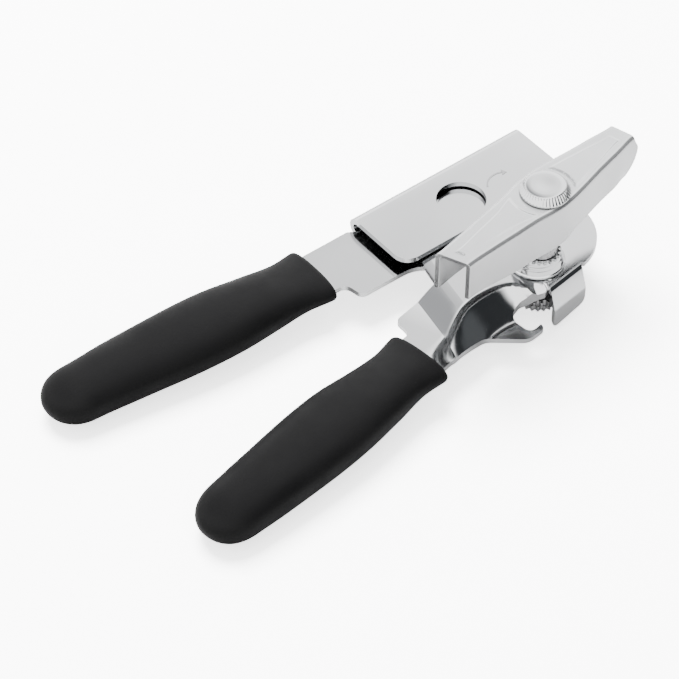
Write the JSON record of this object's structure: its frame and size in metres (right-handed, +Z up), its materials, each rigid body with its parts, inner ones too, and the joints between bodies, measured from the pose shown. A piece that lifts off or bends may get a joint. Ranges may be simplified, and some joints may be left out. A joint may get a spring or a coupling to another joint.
{
  "type": "manual can opener",
  "caption": "Plier-type can opener with a turning crank, meshed gears, cutting wheel, bottle-opener claw and black rubber grips.",
  "frame": {"origin": "middle of the plan, on the surface the opener lies on", "axes": "+X from the grips towards the head, along the line halfway between the handles; +Z up, out of the crank's side"},
  "size_m": [0.1924, 0.0882, 0.0551],
  "materials": {
    "plated_steel": "bright nickel-plated pressed steel",
    "gear_steel": "machined steel, satin",
    "black_rubber": "matt black"
  },
  "bodies": {
    "lower_handle": {"lower_handle_frame": "plated_steel", "lower_grip": "black_rubber", "pivot_bushing": "plated_steel", "bushing_ring": "plated_steel"},
    "upper_handle": {"upper_handle_frame": "plated_steel", "upper_grip": "black_rubber"},
    "crank": {"crank_key": "plated_steel", "crank_cap": "plated_steel", "drive_shaft": "gear_steel", "crank_spacer": "gear_steel", "serrated_washer": "plated_steel", "thrust_washer": "gear_steel", "drive_gear": "gear_steel", "feed_wheel": "gear_steel", "feed_wheel_nut": "gear_steel"},
    "cutter_spindle": {"cutter_pin": "gear_steel", "cutter_bearing": "plated_steel"},
    "cutter": {"cutter_gear": "gear_steel", "cutter_spacer": "gear_steel", "cutter_wheel": "gear_steel", "cutter_washer": "gear_steel"}
  },
  "joints": [
    {"name": "handle_pivot", "type": "hinge", "parent": "lower_handle", "child": "upper_handle", "pos_m": [0.05863, -0.02179, 0.01424], "axis": [-0.0464, 0, 0.9989], "range_deg": [-25, 15]},
    {"name": "crank_turn", "type": "hinge", "parent": "lower_handle", "child": "crank", "pos_m": [0.05677, -0.02523, 0.01415], "axis": [-0.0464, 0, 0.9989], "continuous": true},
    {"name": "cutter_pin_roll", "type": "hinge", "parent": "upper_handle", "child": "cutter_spindle", "pos_m": [0.0593, -0.00735, 0.01427], "axis": [-0.0464, 0, 0.9989], "range_deg": [-15, 9]},
    {"name": "cutter_turn", "type": "hinge", "parent": "cutter_spindle", "child": "cutter", "pos_m": [0.0593, -0.00735, 0.01427], "axis": [-0.0464, 0, 0.9989], "continuous": true}
  ],
  "couplings": [
    {"joint": "cutter_pin_roll", "follows": "handle_pivot", "ratio": 0.59},
    {"joint": "cutter_turn", "follows": "crank_turn", "ratio": -1}
  ]
}
